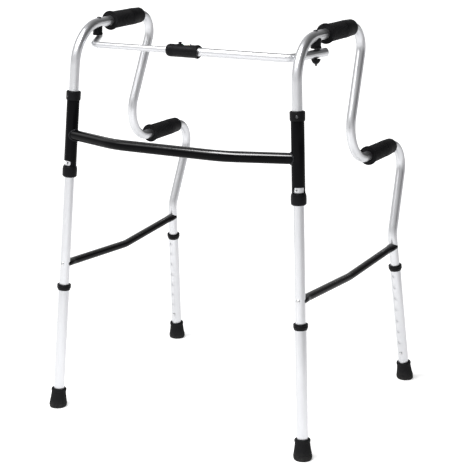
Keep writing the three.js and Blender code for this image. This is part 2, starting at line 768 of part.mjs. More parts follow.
// The left bolt ends just above the rod, and its nut hangs under the rod's drilled end.
function addLeftPivot() {
  const nutTop = -BRACE_ROD_RADIUS - 1;
  const bolt = turnedSolid([
    [0, BRACE_ROD_RADIUS + 0.5],
    [BOLT_RADIUS, BRACE_ROD_RADIUS + 0.5],
    [BOLT_RADIUS, BOLT_HEAD],
    [4.4, BOLT_HEAD],
    [3.8, BOLT_HEAD + 1.3],
    [0, BOLT_HEAD + 1.8],
  ], 12);
  const nut = turnedSolid([
    [0, nutTop - 12],
    [1.4, nutTop - 11.5],
    [2, nutTop - 5],
    [4.2, nutTop - 4],
    [4.6, nutTop],
    [0, nutTop],
  ], 12);
  addPiece(frame, 'pivot_bolt_left', onPivot(bolt, -1), STEEL);
  addPiece(frame, 'pivot_nut_left', onPivot(nut, -1), STEEL);
}

// ---------------------------------------------------------------- assembly

for (const side of [-1, 1]) {
  addSideTube(side);
  addGrips(side);
  addSideBar(side);
  addSaddle(side);
  for (const end of ['front', 'rear']) {
    const group = legGroup(side, end);
    addLegEnd(group, side, end);
    addSideBarScrew(side, end);
    if (end === 'front') {
      addHinge(group, side);
    }
  }
}
addCrossBar();
addBrace();
addRightPivot();
addLeftPivot();

export default frame;
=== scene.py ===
"""Looks of a folding walking frame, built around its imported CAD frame. Lengths are in millimetres until
a mesh is made; the frame and every Blender object are in metres."""
import math
import bmesh
import bpy
from mathutils import Matrix, Vector


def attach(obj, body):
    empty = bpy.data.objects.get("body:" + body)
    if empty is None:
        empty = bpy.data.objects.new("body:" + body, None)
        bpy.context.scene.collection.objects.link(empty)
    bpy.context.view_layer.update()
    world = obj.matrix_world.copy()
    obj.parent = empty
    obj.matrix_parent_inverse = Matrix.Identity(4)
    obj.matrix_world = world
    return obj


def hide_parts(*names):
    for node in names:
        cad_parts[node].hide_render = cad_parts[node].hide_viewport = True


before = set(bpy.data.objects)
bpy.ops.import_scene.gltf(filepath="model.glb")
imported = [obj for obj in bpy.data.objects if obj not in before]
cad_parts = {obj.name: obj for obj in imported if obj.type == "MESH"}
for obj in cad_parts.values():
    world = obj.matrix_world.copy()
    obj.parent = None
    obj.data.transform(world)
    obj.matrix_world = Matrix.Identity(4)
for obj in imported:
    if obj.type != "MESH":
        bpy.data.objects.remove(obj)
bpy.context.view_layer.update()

# ---------------------------------------- driving dimensions

HALF_WIDTH = 281.9
TOE_OUT = 0.0174
LEAN_IN = 0.058
FRONT_FOOT_Y = -245.0
FRONT_LEG_SLOPE = 0.0511
RAIL_FRONT_HEIGHT = 783.0
RAIL_REAR_HEIGHT = 786.0
RAIL_REAR = 338.0
LOWER_RAIL_FRONT = 225.5
LOWER_RAIL_FRONT_HEIGHT = 522.0
LOWER_RAIL_REAR = 527.0
LOWER_RAIL_REAR_HEIGHT = 525.0
KNEE_REARWARD = 450.0
KNEE_HEIGHT = 337.0
REAR_FOOT = 500.6
SIDE_BEND_RADII = (80.0, 40.0, 64.0, 48.0, 48.0)

SIDE_TUBE_RADIUS = 9.7
SIDE_TUBE_WALL = 1.2
INNER_TUBE_END = 44.0
EXTENSION_RADIUS = 10.9
EXTENSION_WALL = 0.9
EXTENSION_BOTTOM = 9.0
COLLAR_TOP = {"front": 264.0, "rear": 270.0}
COLLAR_HEIGHT = 12.0
COLLAR_LIP = 3.0
HOLE_PITCH = 26.0
HOLE_COUNT = 8
FIRST_HOLE = 65.0
HOLE_RADIUS = 3.6
BUTTON_RADIUS = 3.0
BUTTON_TIP = 13.2
FOOT_HEIGHT = 40.0

SLEEVE_BOTTOM = 490.0
SLEEVE_TOP = 657.0
SLEEVE_RADIUS = 12.6
SLEEVE_WALL = 2.3
CAP_SCREW_TURN = 22.0
SLOT_BOTTOM = 510.5
SLOT_TOP = 520.5
SLOT_START = -106.0
SLOT_SWEEP = 122.0
STOP_PIN_RADIUS = 2.4

CROSS_BAR_RADIUS = 10.6
CROSS_BAR_WALL = 1.5
CROSS_BAR_HEIGHT = 571.0
CROSS_BAR_BOW = 18.0
CROSS_BAR_BEND_X = 118.0
CROSS_BAR_BEND_RADIUS = 150.0

SIDE_BAR_RADIUS = 7.9
SIDE_BAR_WALL = 1.2
SIDE_BAR_HEIGHT = {"front": 306.5, "rear": 308.5}
SIDE_BAR_MIDDLE = 240.0
SIDE_BAR_MIDDLE_HEIGHT = 295.0
SIDE_BAR_MIDDLE_INWARD = 5.0
SIDE_BAR_BEND_RADIUS = 120.0

GRIP_RADIUS = 17.4
GRIP_REAR_RADIUS = 16.2
GRIP_FLANGE_RADIUS = 19.4
GRIP_NECK_RADIUS = 14.2
GRIP_LENGTH = 115.0
FIRST_RIB = 9.0
RIB_PITCH = 5.4
RIB_COUNT = 11
UPPER_GRIP_FRONT = 159.5
LOWER_GRIP_FRONT = 336.0

BRACE_HEIGHT = 747.5
PIVOT_HEIGHT = 751.5
BRACE_LINE = 61.5
BRACE_CORNER_X = 215.0
PIVOT_REARWARD = 116.8
PIVOT_X = 240.5
BRACE_STUB = 25.0
BRACE_TUBE_RADIUS = 8.05
BRACE_TUBE_WALL = 1.05
BRACE_ROD_RADIUS = 6.1
BRACE_ROD_WALL = 1.0
BRACE_BEND_RADIUS = 21.0
BRACE_PLAY = 1.8
TUBE_INNER_END = -8.0
ROD_INNER_END = 50.0
LOCK_LEFT = -44.0
LOCK_RIGHT = 26.0
LOCK_RADIUS = 12.2
LOCK_BUTTON_X = -17.0
LOCK_BUTTON_RADIUS = 3.5
LOCK_BUTTON_STROKE = 2.5
LOCK_WELL_BOTTOM = 2.0
LOCK_TAB_X = -1.0
LOCK_TAB_LENGTH = 14.0
BOLT_RADIUS = 3.0
SADDLE_RADIUS = 10.0
GAP = 0.3

PIVOT_TO_RAIL = RAIL_FRONT_HEIGHT + 0.8 - PIVOT_HEIGHT
BOLT_HEAD = PIVOT_TO_RAIL + SIDE_TUBE_RADIUS + 0.6

MM = 0.001
UP = Vector((0, 0, 1))
SIDES = {"left": -1, "right": 1}
ENDS = ("front", "rear")

# ---------------------------------------- materials


class Shader:
    """A Principled material with a few short ways to add procedural detail."""

    def __init__(self, name, color, metallic, roughness):
        self.material = bpy.data.materials.new(name)
        self.material.use_nodes = True
        self.tree = self.material.node_tree
        self.principled = next(n for n in self.tree.nodes if n.type == "BSDF_PRINCIPLED")
        self.set("Base Color", (*color, 1))
        self.set("Metallic", metallic)
        self.set("Roughness", roughness)
        self.bump_chain = None

    def set(self, socket, value):
        self.principled.inputs[socket].default_value = value

    def node(self, kind, **inputs):
        made = self.tree.nodes.new(kind)
        for name, value in inputs.items():
            made.inputs[name.replace("_", " ")].default_value = value
        return made

    def link(self, output, socket):
        self.tree.links.new(output, socket)

    def place(self, space, scale):
        coordinates = self.node("ShaderNodeTexCoord")
        mapping = self.node("ShaderNodeMapping", Scale=scale)
        self.link(coordinates.outputs[space], mapping.inputs["Vector"])
        return mapping.outputs["Vector"]

    def noise(self, vector, scale, detail=4.0, roughness=0.55, distortion=0.0):
        made = self.node(
            "ShaderNodeTexNoise", Scale=scale, Detail=detail, Roughness=roughness, Distortion=distortion)
        self.link(vector, made.inputs["Vector"])
        return made.outputs["Fac"]

    def remap(self, value, low, high, out_low, out_high):
        made = self.node("ShaderNodeMapRange")
        self.link(value, made.inputs["Value"])
        for index, number in zip((1, 2, 3, 4), (low, high, out_low, out_high)):
            made.inputs[index].default_value = number
        return made.outputs["Result"]

    def math(self, operation, first, second):
        made = self.tree.nodes.new("ShaderNodeMath")
        made.operation = operation
        self.link(first, made.inputs[0])
        self.link(second, made.inputs[1])
        return made.outputs["Value"]

    def along(self, vector, direction):
        """How far a vector goes along a direction."""
        made = self.tree.nodes.new("ShaderNodeVectorMath")
        made.operation = "DOT_PRODUCT"
        made.inputs[1].default_value = direction
        self.link(vector, made.inputs[0])
        return made.outputs["Value"]

    def blend(self, factor, first, second):
        made = self.node("ShaderNodeMix")
        made.data_type = "RGBA"
        self.link(factor, made.inputs["Factor"])
        for socket, value in ((made.inputs[6], first), (made.inputs[7], second)):
            if isinstance(value, tuple):
                socket.default_value = (*value, 1)
            else:
                self.link(value, socket)
        return made.outputs[2]

    def color(self, output):
        self.link(output, self.principled.inputs["Base Color"])

    def rough(self, output):
        self.link(output, self.principled.inputs["Roughness"])

    def bump(self, height, strength, distance):
        made = self.node("ShaderNodeBump", Strength=strength, Distance=distance)
        self.link(height, made.inputs["Height"])
        if self.bump_chain is not None:
            self.link(self.bump_chain, made.inputs["Normal"])
        self.bump_chain = made.outputs["Normal"]
        self.link(self.bump_chain, self.principled.inputs["Normal"])


def aluminium_tube():
    """Satin aluminium: fine lengthwise draw lines, faint clouding and a few light scuffs."""
    shader = Shader("aluminium_tube", (0.8, 0.81, 0.83), 1.0, 0.34)
    lines = shader.noise(shader.place("UV", (2600.0, 14.0, 1.0)), 1.0, 5.0, 0.6)
    clouds = shader.noise(shader.place("Object", (1, 1, 1)), 14.0, 3.0)
    scuffs = shader.noise(shader.place("UV", (180.0, 60.0, 1.0)), 1.0, 8.0, 0.75, 1.4)
    scuffed = shader.remap(scuffs, 0.62, 0.74, 0.0, 0.35)
    tone = shader.blend(clouds, (0.57, 0.575, 0.595), (0.65, 0.655, 0.67))
    shader.color(shader.blend(scuffed, tone, (0.48, 0.485, 0.5)))
    shader.rough(shader.remap(lines, 0.3, 0.7, 0.27, 0.42))
    shader.bump(lines, 0.05, 0.0003)
    shader.bump(scuffs, 0.04, 0.0005)
    return shader.material


def black_paint():
    """Black powder coat with a light orange peel, glossy on top and duller where it faces down."""
    shader = Shader("black_paint", (0.01, 0.01, 0.012), 0.0, 0.16)
    here = shader.place("Object", (1, 1, 1))
    facing_up = shader.along(shader.node("ShaderNodeTexCoord").outputs["Normal"], UP)
    gloss = shader.remap(facing_up, 0.4, 0.6, 0.05, 0.7)
    shader.link(gloss, shader.principled.inputs["Specular IOR Level"])
    peel = shader.noise(here, 420.0, 2.0, 0.4)
    dust = shader.noise(here, 34.0, 6.0, 0.7)
    dusty = shader.remap(dust, 0.55, 0.8, 0.0, 0.5)
    shader.color(shader.blend(dusty, (0.002, 0.002, 0.0025), (0.007, 0.007, 0.008)))
    shader.rough(shader.remap(dust, 0.35, 0.75, 0.1, 0.2))
    shader.bump(peel, 0.05, 0.0005)
    return shader.material


def black_plastic():
    """Moulded plastic with a fine spark-eroded grain and slight handling shine."""
    shader = Shader("black_plastic", (0.014, 0.014, 0.016), 0.0, 0.4)
    here = shader.place("Object", (1, 1, 1))
    grain = shader.noise(here, 2400.0, 3.0, 0.6)
    wear = shader.noise(here, 60.0, 5.0, 0.65)
    shader.color(shader.blend(wear, (0.002, 0.002, 0.0025), (0.006, 0.006, 0.007)))
    shader.set("Specular IOR Level", 0.09)
    shader.rough(shader.remap(wear, 0.35, 0.7, 0.32, 0.48))
    shader.bump(grain, 0.22, 0.00025)
    return shader.material


def grip_rubber():
    """Matte black grip rubber: fine pebble, greyer and drier where hands have dulled it."""
    shader = Shader("grip_rubber", (0.016, 0.016, 0.018), 0.0, 0.62)
    here = shader.place("Object", (1, 1, 1))
    pebble = shader.node("ShaderNodeTexVoronoi", Scale=1500.0)
    shader.link(here, pebble.inputs["Vector"])
    dulled = shader.noise(here, 48.0, 6.0, 0.7)
    dry = shader.remap(dulled, 0.4, 0.72, 0.0, 1.0)
    shader.color(shader.blend(dry, (0.0015, 0.0015, 0.002), (0.008, 0.008, 0.009)))
    shader.set("Specular IOR Level", 0.1)
    shader.rough(shader.remap(dulled, 0.35, 0.7, 0.5, 0.72))
    shader.bump(pebble.outputs["Distance"], 0.25, 0.0002)
    shader.bump(dulled, 0.08, 0.0008)
    return shader.material


def foot_rubber():
    """Dark grey moulded rubber, paler with floor dust towards the sole."""
    shader = Shader("foot_rubber", (0.03, 0.03, 0.033), 0.0, 0.74)
    coordinates = shader.place("Object", (1, 1, 1))
    low = shader.remap(shader.along(coordinates, UP), 0.0, 0.02, 1.0, 0.0)
    mottle = shader.noise(coordinates, 170.0, 7.0, 0.7)
    dusty = shader.math("MULTIPLY", low, shader.remap(mottle, 0.35, 0.7, 0.0, 0.9))
    clean = shader.blend(mottle, (0.003, 0.003, 0.0035), (0.013, 0.013, 0.014))
    shader.set("Specular IOR Level", 0.1)
    shader.color(shader.blend(dusty, clean, (0.04, 0.039, 0.037)))
    shader.rough(shader.remap(mottle, 0.3, 0.7, 0.62, 0.84))
    shader.bump(mottle, 0.2, 0.0004)
    return shader.material


def plated_steel():
    """Bright zinc plating with a slightly uneven sheen."""
    shader = Shader("plated_steel", (0.62, 0.63, 0.64), 1.0, 0.24)
    here = shader.place("Object", (1, 1, 1))
    haze = shader.noise(here, 260.0, 5.0, 0.6)
    shader.color(shader.blend(haze, (0.5, 0.51, 0.52), (0.74, 0.745, 0.75)))
    shader.rough(shader.remap(haze, 0.3, 0.7, 0.18, 0.34))
    shader.bump(haze, 0.05, 0.0002)
    return shader.material


def natural_nylon():
    """Cream nylon with a soft, slightly translucent skin."""
    shader = Shader("natural_nylon", (0.72, 0.7, 0.64), 0.0, 0.45)
    haze = shader.noise(shader.place("Object", (1, 1, 1)), 220.0, 4.0)
    shader.color(shader.blend(haze, (0.66, 0.64, 0.58), (0.78, 0.76, 0.7)))
    shader.set("Subsurface Weight", 0.15)
    return shader.material


def painted_weld():
    """Black paint over the ripples of a weld bead."""
    shader = Shader("painted_weld", (0.01, 0.01, 0.012), 0.0, 0.2)
    ripple = shader.noise(shader.place("Object", (1, 1, 1)), 900.0, 3.0)
    shader.rough(shader.remap(ripple, 0.3, 0.7, 0.16, 0.34))
    shader.bump(ripple, 0.3, 0.0004)
    shader.set("Specular IOR Level", 0.12)
    return shader.material


def blackened_steel():
    """Dark oxide finish of the cap screws and the brace bolts, rubbed a little brighter in places."""
    shader = Shader("blackened_steel", (0.05, 0.05, 0.052), 1.0, 0.36)
    rub = shader.noise(shader.place("Object", (1, 1, 1)), 700.0, 5.0, 0.6)
    shader.color(shader.blend(rub, (0.03, 0.03, 0.032), (0.12, 0.12, 0.125)))
    shader.rough(shader.remap(rub, 0.3, 0.7, 0.28, 0.5))
    return shader.material


ALUMINIUM = aluminium_tube()
PAINT = black_paint()
PLASTIC = black_plastic()
GRIP = grip_rubber()
FOOT = foot_rubber()
STEEL = plated_steel()
NYLON = natural_nylon()
WELD = painted_weld()
DARK_STEEL = blackened_steel()

# ---------------------------------------- mesh helpers


def make_object(name, verts, faces, uvs, material, sharp=38.0):
    """An object from millimetre vertices, with one uv per face corner."""
    mesh = bpy.data.meshes.new(name)
    mesh.from_pydata([Vector(v) * MM for v in verts], [], faces)
    if uvs:
        layer = mesh.uv_layers.new(name="UVMap")
        layer.data.foreach_set("uv", [number for uv in uvs for number in uv])
    mesh.polygons.foreach_set("use_smooth", [True] * len(mesh.polygons))
    mesh.update()
    face_outward(mesh)
    mesh.set_sharp_from_angle(angle=math.radians(sharp))
    mesh.materials.append(material)
    made = bpy.data.objects.new(name, mesh)
    bpy.context.scene.collection.objects.link(made)
    return made


def face_outward(mesh):
    """Turns every face of a closed mesh to look outward."""
    shape = bmesh.new()
    shape.from_mesh(mesh)
    bmesh.ops.recalc_face_normals(shape, faces=shape.faces)
    shape.to_mesh(mesh)
    shape.free()


def grid_faces(rows, columns):
    """Quads of a grid of rows that closes round its columns and round its rows."""
    faces = []
    corners = []
    for i in range(rows):
        for j in range(columns):
            after = (i + 1) % rows
            beside = (j + 1) % columns
            here, there = i * columns, after * columns
            faces.append((here + j, here + beside, there + beside, there + j))
            corners.append(((i, j), (i, j + 1), (i + 1, j + 1), (i + 1, j)))
    return faces, corners


def fillet(outline, steps=4):
    """Rounds the corners of a closed outline of (radius, height, rounding) points."""
    rounded = []
    count = len(outline)
    for i, corner in enumerate(outline):
        here = Vector(corner[:2])
        size = corner[2] if len(corner) > 2 else 0.0
        back = Vector(outline[i - 1][:2]) - here
        ahead = Vector(outline[(i + 1) % count][:2]) - here
        inside = back.angle(ahead)
        if size <= 0 or inside > math.pi - 0.02:
            rounded.append(here)
            continue
        reach = min(size / math.tan(inside / 2), back.length * 0.49, ahead.length * 0.49)
        radius = reach * math.tan(inside / 2)
        centre = here + (back.normalized() + ahead.normalized()).normalized() * radius / math.sin(inside / 2)
        first = here + back.normalized() * reach - centre
        last = here + ahead.normalized() * reach - centre
        for k in range(steps + 1):
            arm = first.normalized().slerp(last.normalized(), k / steps)
            rounded.append(centre + arm * radius)
    return rounded


def turned(name, outline, material, sides, bend=None, steps=4):
    """A closed outline turned about +Z; points on the axis are kept just off it and stay closed.
    bend(radius, angle, height) may move each point instead of the plain turn."""
    profile = fillet(outline, steps)
    verts = []
    length = [0.0]
    for a, b in zip(profile, profile[1:] + profile[:1]):
        length.append(length[-1] + (b - a).length * MM)
    for point in profile:
        for j in range(sides):
            angle = math.tau * j / sides
            radius = max(point.x, 0.02)
            if bend:
                verts.append(bend(radius, angle, point.y))
            else:
                verts.append((radius * math.cos(angle), radius * math.sin(angle), point.y))
    faces, corners = grid_faces(len(profile), sides)
    size = max(p.x for p in profile) * math.tau * MM / sides
    uvs = []
    for quad in corners:
        uvs += [(j * size, length[i]) for i, j in quad]
    return make_object(name, verts, faces, uvs, material)


def bent_path(corners, radii, step):
    """Stations along straight runs and round bends: (point, direction to the bend's centre, weight).
    A bend has a station about every step degrees."""
    stations = [(corners[0], Vector(), 0.0)]
    for i in range(1, len(corners) - 1):
        here = corners[i]
        back = (corners[i - 1] - here).normalized()
        ahead = (corners[i + 1] - here).normalized()
        inside = back.angle(ahead)
        radius = radii[i - 1]
        start = here + back * (radius / math.tan(inside / 2))
        centre = here + (back + ahead).normalized() * (radius / math.sin(inside / 2))
        axis = ahead.cross(back).normalized()
        turn = math.pi - inside
        steps = max(4, math.ceil(math.degrees(turn) / step))
        for k in range(steps + 1):
            point = centre + Matrix.Rotation(turn * k / steps, 3, axis) @ (start - centre)
            stations.append((point, (centre - point).normalized(), math.sin(math.pi * k / steps)))
    stations.append((corners[-1], Vector(), 0.0))
    return stations


def tangents(points):
    """The direction at each point of a path, halfway between the runs before and after it."""
    found = []
    for i, point in enumerate(points):
        before = point - points[i - 1] if i else Vector()
        after = points[i + 1] - point if i + 1 < len(points) else Vector()
        found.append((before.normalized() + after.normalized()).normalized())
    return found


def sweep(name, stations, radius, wall, material, sides=48, flatten=0.0, shape=None, cope=(None, None)):
    """An open round tube along stations. shape(travel, total) scales the section (across, upright).
    cope holds, for each end, None or the (axis point, axis direction, radius) of a post it fits."""
    points = [s[0] for s in stations]
    along = tangents(points)
    across = UP.cross(along[0]) if abs(along[0].z) < 0.9 else Vector((1, 0, 0))
    across = (across - along[0] * across.dot(along[0])).normalized()
    travel = [0.0]
    for a, b in zip(points, points[1:]):
        travel.append(travel[-1] + (b - a).length)
    rings = []
    for i, (point, inward, weight) in enumerate(stations):
        if i:
            across = along[i - 1].rotation_difference(along[i]) @ across
        upright = along[i].cross(across)
        wide, tall = shape(travel[i], travel[-1]) if shape else (1.0, 1.0)
        arms = []
        for j in range(sides):
            angle = math.tau * j / sides
            arm = across * math.cos(angle) * wide + upright * math.sin(angle) * tall
            if weight:
                arm = arm - inward * arm.dot(inward) * flatten * weight
            arms.append(arm)
        rings.append((point, arms, along[i]))
    lip = min(0.3, wall / 3)
    outer = [ring_points(ring, radius) for ring in rings]
    inner = [ring_points(ring, radius - wall) for ring in rings]
    first_run, last_run = rings[0][2], -rings[-1][2]
    for end, run, post in zip((0, -1), (first_run, last_run), cope):
        if post:
            outer[end] = [fit_to_post(p, run, post) for p in outer[end]]
            inner[end] = [fit_to_post(p, run, post) for p in inner[end]]
    shoulder_first = [p + first_run * lip for p in outer[0]]
    shoulder_last = [p + last_run * lip for p in outer[-1]]
    edge_first = inset(outer[0], inner[0], lip)
    edge_last = inset(outer[-1], inner[-1], lip)
    loops = [edge_first, shoulder_first] + outer[1:-1] + [shoulder_last, edge_last] + inner[::-1]
    spans = [travel[0], travel[0] + lip] + travel[1:-1] + [travel[-1] - lip, travel[-1]] + travel[::-1]
    verts = [p for loop in loops for p in loop]
    faces, corners = grid_faces(len(loops), sides)
    step = math.tau * radius * MM / sides
    spans.append(spans[0])
    uvs = [(j * step, spans[i] * MM) for quad in corners for i, j in quad]
    return make_object(name, verts, faces, uvs, material)


def ring_points(ring, radius):
    """The points of a (centre, arms, direction) ring at a radius."""
    return [ring[0] + arm * radius for arm in ring[1]]


def inset(outer, inner, amount):
    return [a + (b - a).normalized() * amount for a, b in zip(outer, inner)]


def fit_to_post(point, run, post):
    """Slides a point along its tube until it meets the near side of a round post."""
    base, axis, radius = post
    axis = axis.normalized()
    flat_run = run - axis * run.dot(axis)
    gap = point - base
    flat_gap = gap - axis * gap.dot(axis)
    a = flat_run.dot(flat_run)
    b = 2 * flat_gap.dot(flat_run)
    c = flat_gap.dot(flat_gap) - radius * radius
    inside = max(b * b - 4 * a * c, 0.0)
    return point + run * ((-b + math.sqrt(inside)) / (2 * a))


def cylinder_cutter(radius, bottom, top):
    outline = [(0.0, bottom), (radius, bottom), (radius, top), (0.0, top)]
    return turned("cutter", outline, STEEL, 28)


def box(name, size, centre, material):
    verts = []
    for x in (-0.5, 0.5):
        for y in (-0.5, 0.5):
            for z in (-0.5, 0.5):
                verts.append((centre[0] + x * size[0], centre[1] + y * size[1], centre[2] + z * size[2]))
    faces = [(0, 1, 3, 2), (4, 6, 7, 5), (0, 4, 5, 1), (2, 3, 7, 6), (0, 2, 6, 4), (1, 5, 7, 3)]
    return make_object(name, verts, faces, None, material)


def carve(target, cutters, edge=0.0):
    """Cuts the cutters out of an object for good, with an optional small bevel in millimetres."""
    for cutter in cutters:
        modifier = target.modifiers.new("cut", "BOOLEAN")
        modifier.operation = "DIFFERENCE"
        modifier.solver = "EXACT"
        modifier.object = cutter
    if edge:
        bevel = target.modifiers.new("edge", "BEVEL")
        bevel.width = edge * MM
        bevel.segments = 2
        bevel.limit_method = "ANGLE"
        bevel.angle_limit = math.radians(50)
    bpy.context.view_layer.update()
    depsgraph = bpy.context.evaluated_depsgraph_get()
    mesh = bpy.data.meshes.new_from_object(target.evaluated_get(depsgraph))
    target.modifiers.clear()
    target.data = mesh
    mesh.set_sharp_from_angle(angle=math.radians(38))
    for cutter in cutters:
        bpy.data.objects.remove(cutter, do_unlink=True)
    return target


def move(made, matrix):
    """Moves an object's mesh, by a matrix whose place is in millimetres."""
    scaled = matrix.copy()
    scaled.translation = matrix.translation * MM
    made.data.transform(scaled)
    made.data.update()
    return made


def aim(made, place, direction):
    """Turns a piece made about +Z to a direction and moves it to a place."""
    turn = UP.rotation_difference(direction.normalized()).to_matrix().to_4x4()
    return move(made, Matrix.Translation(place) @ turn)


def keep(made, body, slot, *nodes):
    """Puts a finished piece on its body, in place of its CAD nodes."""
    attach(made, body)
    if nodes:
        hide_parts(*nodes)
    return made


# ---------------------------------------- places


def side_point(side, rearward, height):
    return Vector((
        side * (HALF_WIDTH + TOE_OUT * rearward - LEAN_IN * height),
        FRONT_FOOT_Y + rearward,
        height,
    ))


def leg_foot(side, end):
    return side_point(side, 0.0 if end == "front" else REAR_FOOT, 0.0)


def leg_direction(side, end):
    if end == "front":
        upper = side_point(side, FRONT_LEG_SLOPE * RAIL_FRONT_HEIGHT, RAIL_FRONT_HEIGHT)
    else:
        upper = side_point(side, KNEE_REARWARD, KNEE_HEIGHT)
    return (upper - leg_foot(side, end)).normalized()


def leg_point(side, end, height):
    direction = leg_direction(side, end)
    return leg_foot(side, end) + direction * (height / direction.z)


def pivot_point(side):
    return Vector((side * PIVOT_X, FRONT_FOOT_Y + PIVOT_REARWARD, PIVOT_HEIGHT))


def on_leg(made, side, end):
    return aim(made, leg_foot(side, end), leg_direction(side, end))


def on_pivot(made, side):
    return aim(made, pivot_point(side), leg_direction(side, "front"))


def on_brace(made, x, direction):
    return aim(made, Vector((x, FRONT_FOOT_Y + BRACE_LINE, BRACE_HEIGHT)), direction)


# ---------------------------------------- side frames


def side_path(side):
    front = leg_direction(side, "front")
    rear = leg_direction(side, "rear")
    corners = [
        leg_foot(side, "front") + front * INNER_TUBE_END,
        side_point(side, FRONT_LEG_SLOPE * RAIL_FRONT_HEIGHT, RAIL_FRONT_HEIGHT),
        side_point(side, RAIL_REAR, RAIL_REAR_HEIGHT),
        side_point(side, LOWER_RAIL_FRONT, LOWER_RAIL_FRONT_HEIGHT),
        side_point(side, LOWER_RAIL_REAR, LOWER_RAIL_REAR_HEIGHT),
        side_point(side, KNEE_REARWARD, KNEE_HEIGHT),
        leg_foot(side, "rear") + rear * INNER_TUBE_END,
    ]
    return bent_path(corners, SIDE_BEND_RADII, 4.0)


def side_tube(name, side):
    tube = sweep(
        f"{name}_side_tube", side_path(side), SIDE_TUBE_RADIUS, SIDE_TUBE_WALL, ALUMINIUM, flatten=0.045)
    keep(tube, f"{name}_side", "aluminium_tube", f"side_tube_{name}")


def grip_outline():
    """Guard at the front, finger ribs over the first half, then a plain swelling palm."""
    bore = SIDE_TUBE_RADIUS + 0.15
    outline = [
        (bore, 0.0, 0.3),
        (bore + 2.2, 0.0, 0.3),
        (bore + 2.6, 0.9, 0.3),
        (GRIP_FLANGE_RADIUS - 1.6, 0.9, 0.4),
        (GRIP_FLANGE_RADIUS - 1.2, 0.0, 0.4),
        (GRIP_FLANGE_RADIUS, 0.4, 1.0),
        (GRIP_FLANGE_RADIUS, 3.8, 1.4),
        (GRIP_NECK_RADIUS, 4.8, 0.6),
        (GRIP_NECK_RADIUS, 8.4, 0.6),
    ]
    for k in range(RIB_COUNT):
        base = FIRST_RIB + k * RIB_PITCH
        crest = GRIP_RADIUS - 0.1 - 0.03 * k
        outline += [
            (crest - 1.7, base, 0.4),
            (crest, base + 1.3, 0.7),
            (crest, base + RIB_PITCH - 1.6, 0.7),
            (crest - 1.7, base + RIB_PITCH - 0.4, 0.4),
        ]
    outline += [
        (GRIP_RADIUS - 0.5, 71.0, 2.0),
        (GRIP_RADIUS - 0.2, 84.0, 8.0),
        (GRIP_REAR_RADIUS, GRIP_LENGTH - 9.0, 6.0),
        (GRIP_REAR_RADIUS - 0.2, GRIP_LENGTH - 0.6, 4.5),
        (bore + 0.9, GRIP_LENGTH, 0.5),
        (bore, GRIP_LENGTH - 0.5, 0.3),
    ]
    return outline


def grip(name, level, rail_front, rail_rear, rearward):
    run = rail_rear - rail_front
    start = rail_front + run * ((rearward + FRONT_FOOT_Y - rail_front.y) / run.y)
    made = turned(f"{name}_{level}_hand_grip", grip_outline(), GRIP, 72, steps=3)
    aim(made, start, run)
    keep(made, f"{name}_side", "grip_rubber", f"{level}_grip_{name}")


def grips(name, side):
    upper = (
        side_point(side, FRONT_LEG_SLOPE * RAIL_FRONT_HEIGHT, RAIL_FRONT_HEIGHT),
        side_point(side, RAIL_REAR, RAIL_REAR_HEIGHT),
    )
    lower = (
        side_point(side, LOWER_RAIL_FRONT, LOWER_RAIL_FRONT_HEIGHT),
        side_point(side, LOWER_RAIL_REAR, LOWER_RAIL_REAR_HEIGHT),
    )
    grip(name, "upper", *upper, UPPER_GRIP_FRONT)
    grip(name, "lower", *lower, LOWER_GRIP_FRONT)


def smooth(value):
    value = min(max(value, 0.0), 1.0)
    return value * value * (3 - 2 * value)


def side_bar(name, side):
    """A bent tube whose ends are pressed wide and wrap the near half of each leg."""
    front = leg_point(side, "front", SIDE_BAR_HEIGHT["front"])
    rear = leg_point(side, "rear", SIDE_BAR_HEIGHT["rear"])
    middle = side_point(side, SIDE_BAR_MIDDLE, SIDE_BAR_MIDDLE_HEIGHT)
    middle.x -= side * SIDE_BAR_MIDDLE_INWARD
    stations = bent_path([front, middle, rear], [SIDE_BAR_BEND_RADIUS], 2.0)
    stations = add_stations(stations, (7.0, 12.0, 17.0, 22.0, 28.0, 34.0))
    pressed_length, fade, widening, thinning = 12.0, 20.0, 0.38, 0.04

    def pressed(travel, total):
        nearest = min(travel, total - travel)
        amount = 1 - smooth((nearest - pressed_length) / fade)
        return 1 + widening * amount, 1 - thinning * amount

    posts = [(place, leg_direction(side, end), SIDE_TUBE_RADIUS + 0.12)
             for place, end in ((front, "front"), (rear, "rear"))]
    made = sweep(f"{name}_side_bar", stations, SIDE_BAR_RADIUS, SIDE_BAR_WALL, PAINT,
                 shape=pressed, cope=posts)
    keep(made, f"{name}_side", "black_paint", f"side_bar_{name}")


def add_stations(stations, distances):
    """Adds stations at distances from both ends of a path's first and last straight runs."""
    first, second = stations[0][0], stations[1][0]
    last, before = stations[-1][0], stations[-2][0]
    head = [(first + (second - first).normalized() * d, Vector(), 0.0) for d in distances]
    tail = [(last + (before - last).normalized() * d, Vector(), 0.0) for d in reversed(distances)]
    return stations[:1] + head + stations[1:-1] + tail + stations[-1:]


def pan_screw(name, radius, height, base, material):
    """A domed head with a cross recess, standing on base."""
    head = turned(name, [
        (0.0, base),
        (radius, base, 0.15),
        (radius * 0.96, base + height * 0.45, 0.5),
        (radius * 0.6, base + height * 0.92, 1.0),
        (0.0, base + height),
    ], material, 40)
    slot = radius * 0.26
    reach = radius * 1.15
    middle = (0.0, 0.0, base + height)
    arms = ((reach, slot, height), (slot, reach, height))
    return carve(head, [box("cutter", arm, middle, STEEL) for arm in arms])


def side_bar_screws(name, side):
    for end in ENDS:
        outward = Vector((0, -1 if end == "front" else 1, 0))
        leg = leg_direction(side, end)
        outward = (outward - leg * outward.dot(leg)).normalized()
        screw = pan_screw(f"{name}_{end}_side_bar_screw", 4.0, 2.2, SIDE_TUBE_RADIUS, STEEL)
        aim(screw, leg_point(side, end, SIDE_BAR_HEIGHT[end]), outward)
        keep(screw, f"{name}_side", "steel", f"side_bar_screw_{end}_{name}")


